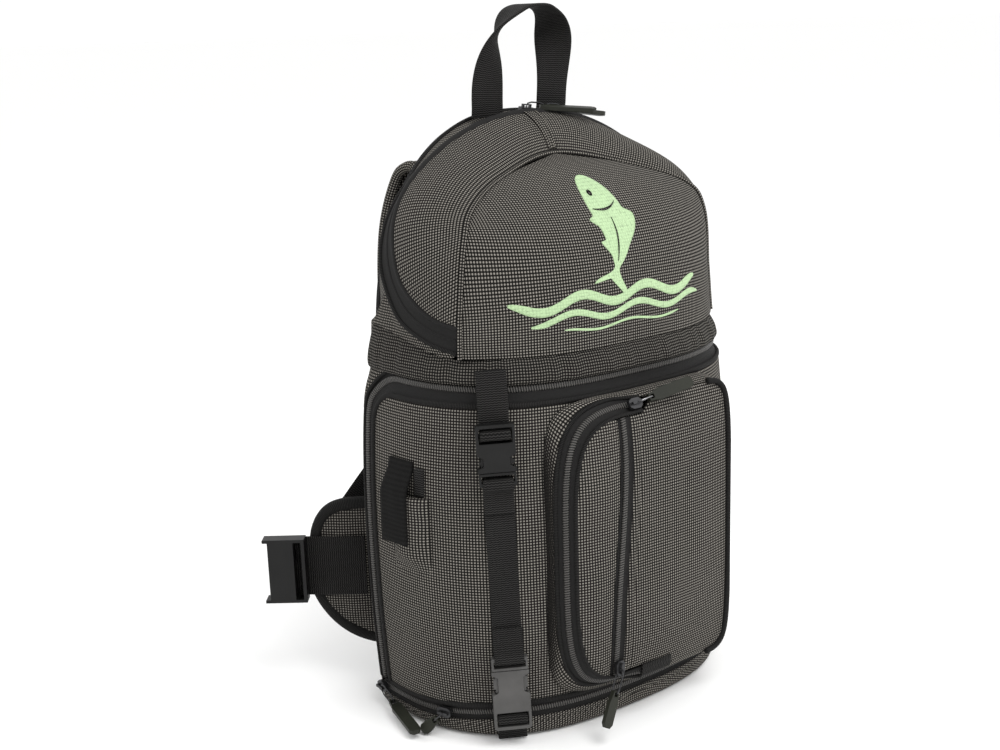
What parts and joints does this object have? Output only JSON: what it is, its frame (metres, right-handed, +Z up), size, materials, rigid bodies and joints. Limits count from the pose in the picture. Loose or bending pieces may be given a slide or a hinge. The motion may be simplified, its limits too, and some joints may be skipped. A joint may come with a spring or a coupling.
{
  "type": "fishing backpack",
  "caption": "Upright fishing backpack with a domed zipped lid, zip-round front flap, bulged front pocket, side tool holder, compression strap, hip wings and grab handle.",
  "frame": {"origin": "middle of the flat underside of the base tray, between its two sides, on the ground it stands on", "axes": "+Z up along the height, +Y towards the padded back, +X towards the side without the tool holder; the front pocket faces -Y"},
  "size_m": [0.418, 0.2571, 0.5402],
  "materials": {
    "weave": "matte two-tone weave",
    "spacer_mesh": "matte spacer mesh",
    "binding": "matte",
    "hook_tape": "matte hook tape",
    "webbing": "ribbed webbing",
    "zip_tape": "matte tape with a coil",
    "buckle_black": "satin",
    "buckle_grey": "satin",
    "slider_metal": "satin black",
    "pull_rubber": "satin"
  },
  "bodies": {
    "root": {"base_tray": "weave", "lower_zip": "zip_tape", "lower_flap": "weave", "rear_zip_left": "zip_tape", "rear_zip_right": "zip_tape", "mid_zip": "zip_tape", "collar": "weave", "lid_panel": "weave", "lid_gusset": "weave", "lid_zip": "zip_tape", "side_gore_left": "weave", "side_gore_right": "weave", "rear_gusset": "weave", "back_panel": "spacer_mesh", "lid_top_seam": "weave", "pocket_gusset": "weave", "pocket_curved_zip": "zip_tape", "pocket_front_zip": "zip_tape", "pocket_corner_panel": "weave", "pocket_front": "weave", "pocket_piping": "binding", "pocket_zip_tab": "binding", "lid_left_slider": "slider_metal", "lid_left_pull": "pull_rubber", "lid_right_slider": "slider_metal", "lid_right_pull": "pull_rubber", "pocket_top_slider": "slider_metal", "pocket_top_pull": "pull_rubber", "pocket_foot_slider": "slider_metal", "pocket_foot_pull": "pull_rubber", "lower_rear_slider": "slider_metal", "lower_rear_pull": "pull_rubber", "lower_front_slider": "slider_metal", "lower_front_pull": "pull_rubber", "upper_buckle_socket": "buckle_black", "upper_buckle_plug": "buckle_black", "lower_buckle_socket": "buckle_grey", "lower_buckle_plug": "buckle_grey", "strap_anchor": "webbing", "strap_tail": "webbing", "strap_middle": "webbing", "tool_pocket": "weave", "tool_flap": "hook_tape", "tool_loop": "webbing", "grab_handle": "webbing", "hip_wing_left": "weave", "hip_wing_right": "weave", "hip_webbing_left": "webbing", "hip_webbing_right": "webbing", "hip_buckle_left": "buckle_black", "hip_buckle_right": "buckle_black", "shoulder_strap_left": "weave", "shoulder_strap_right": "weave", "shoulder_webbing_left": "webbing", "shoulder_webbing_right": "webbing"}
  },
  "joints": []
}
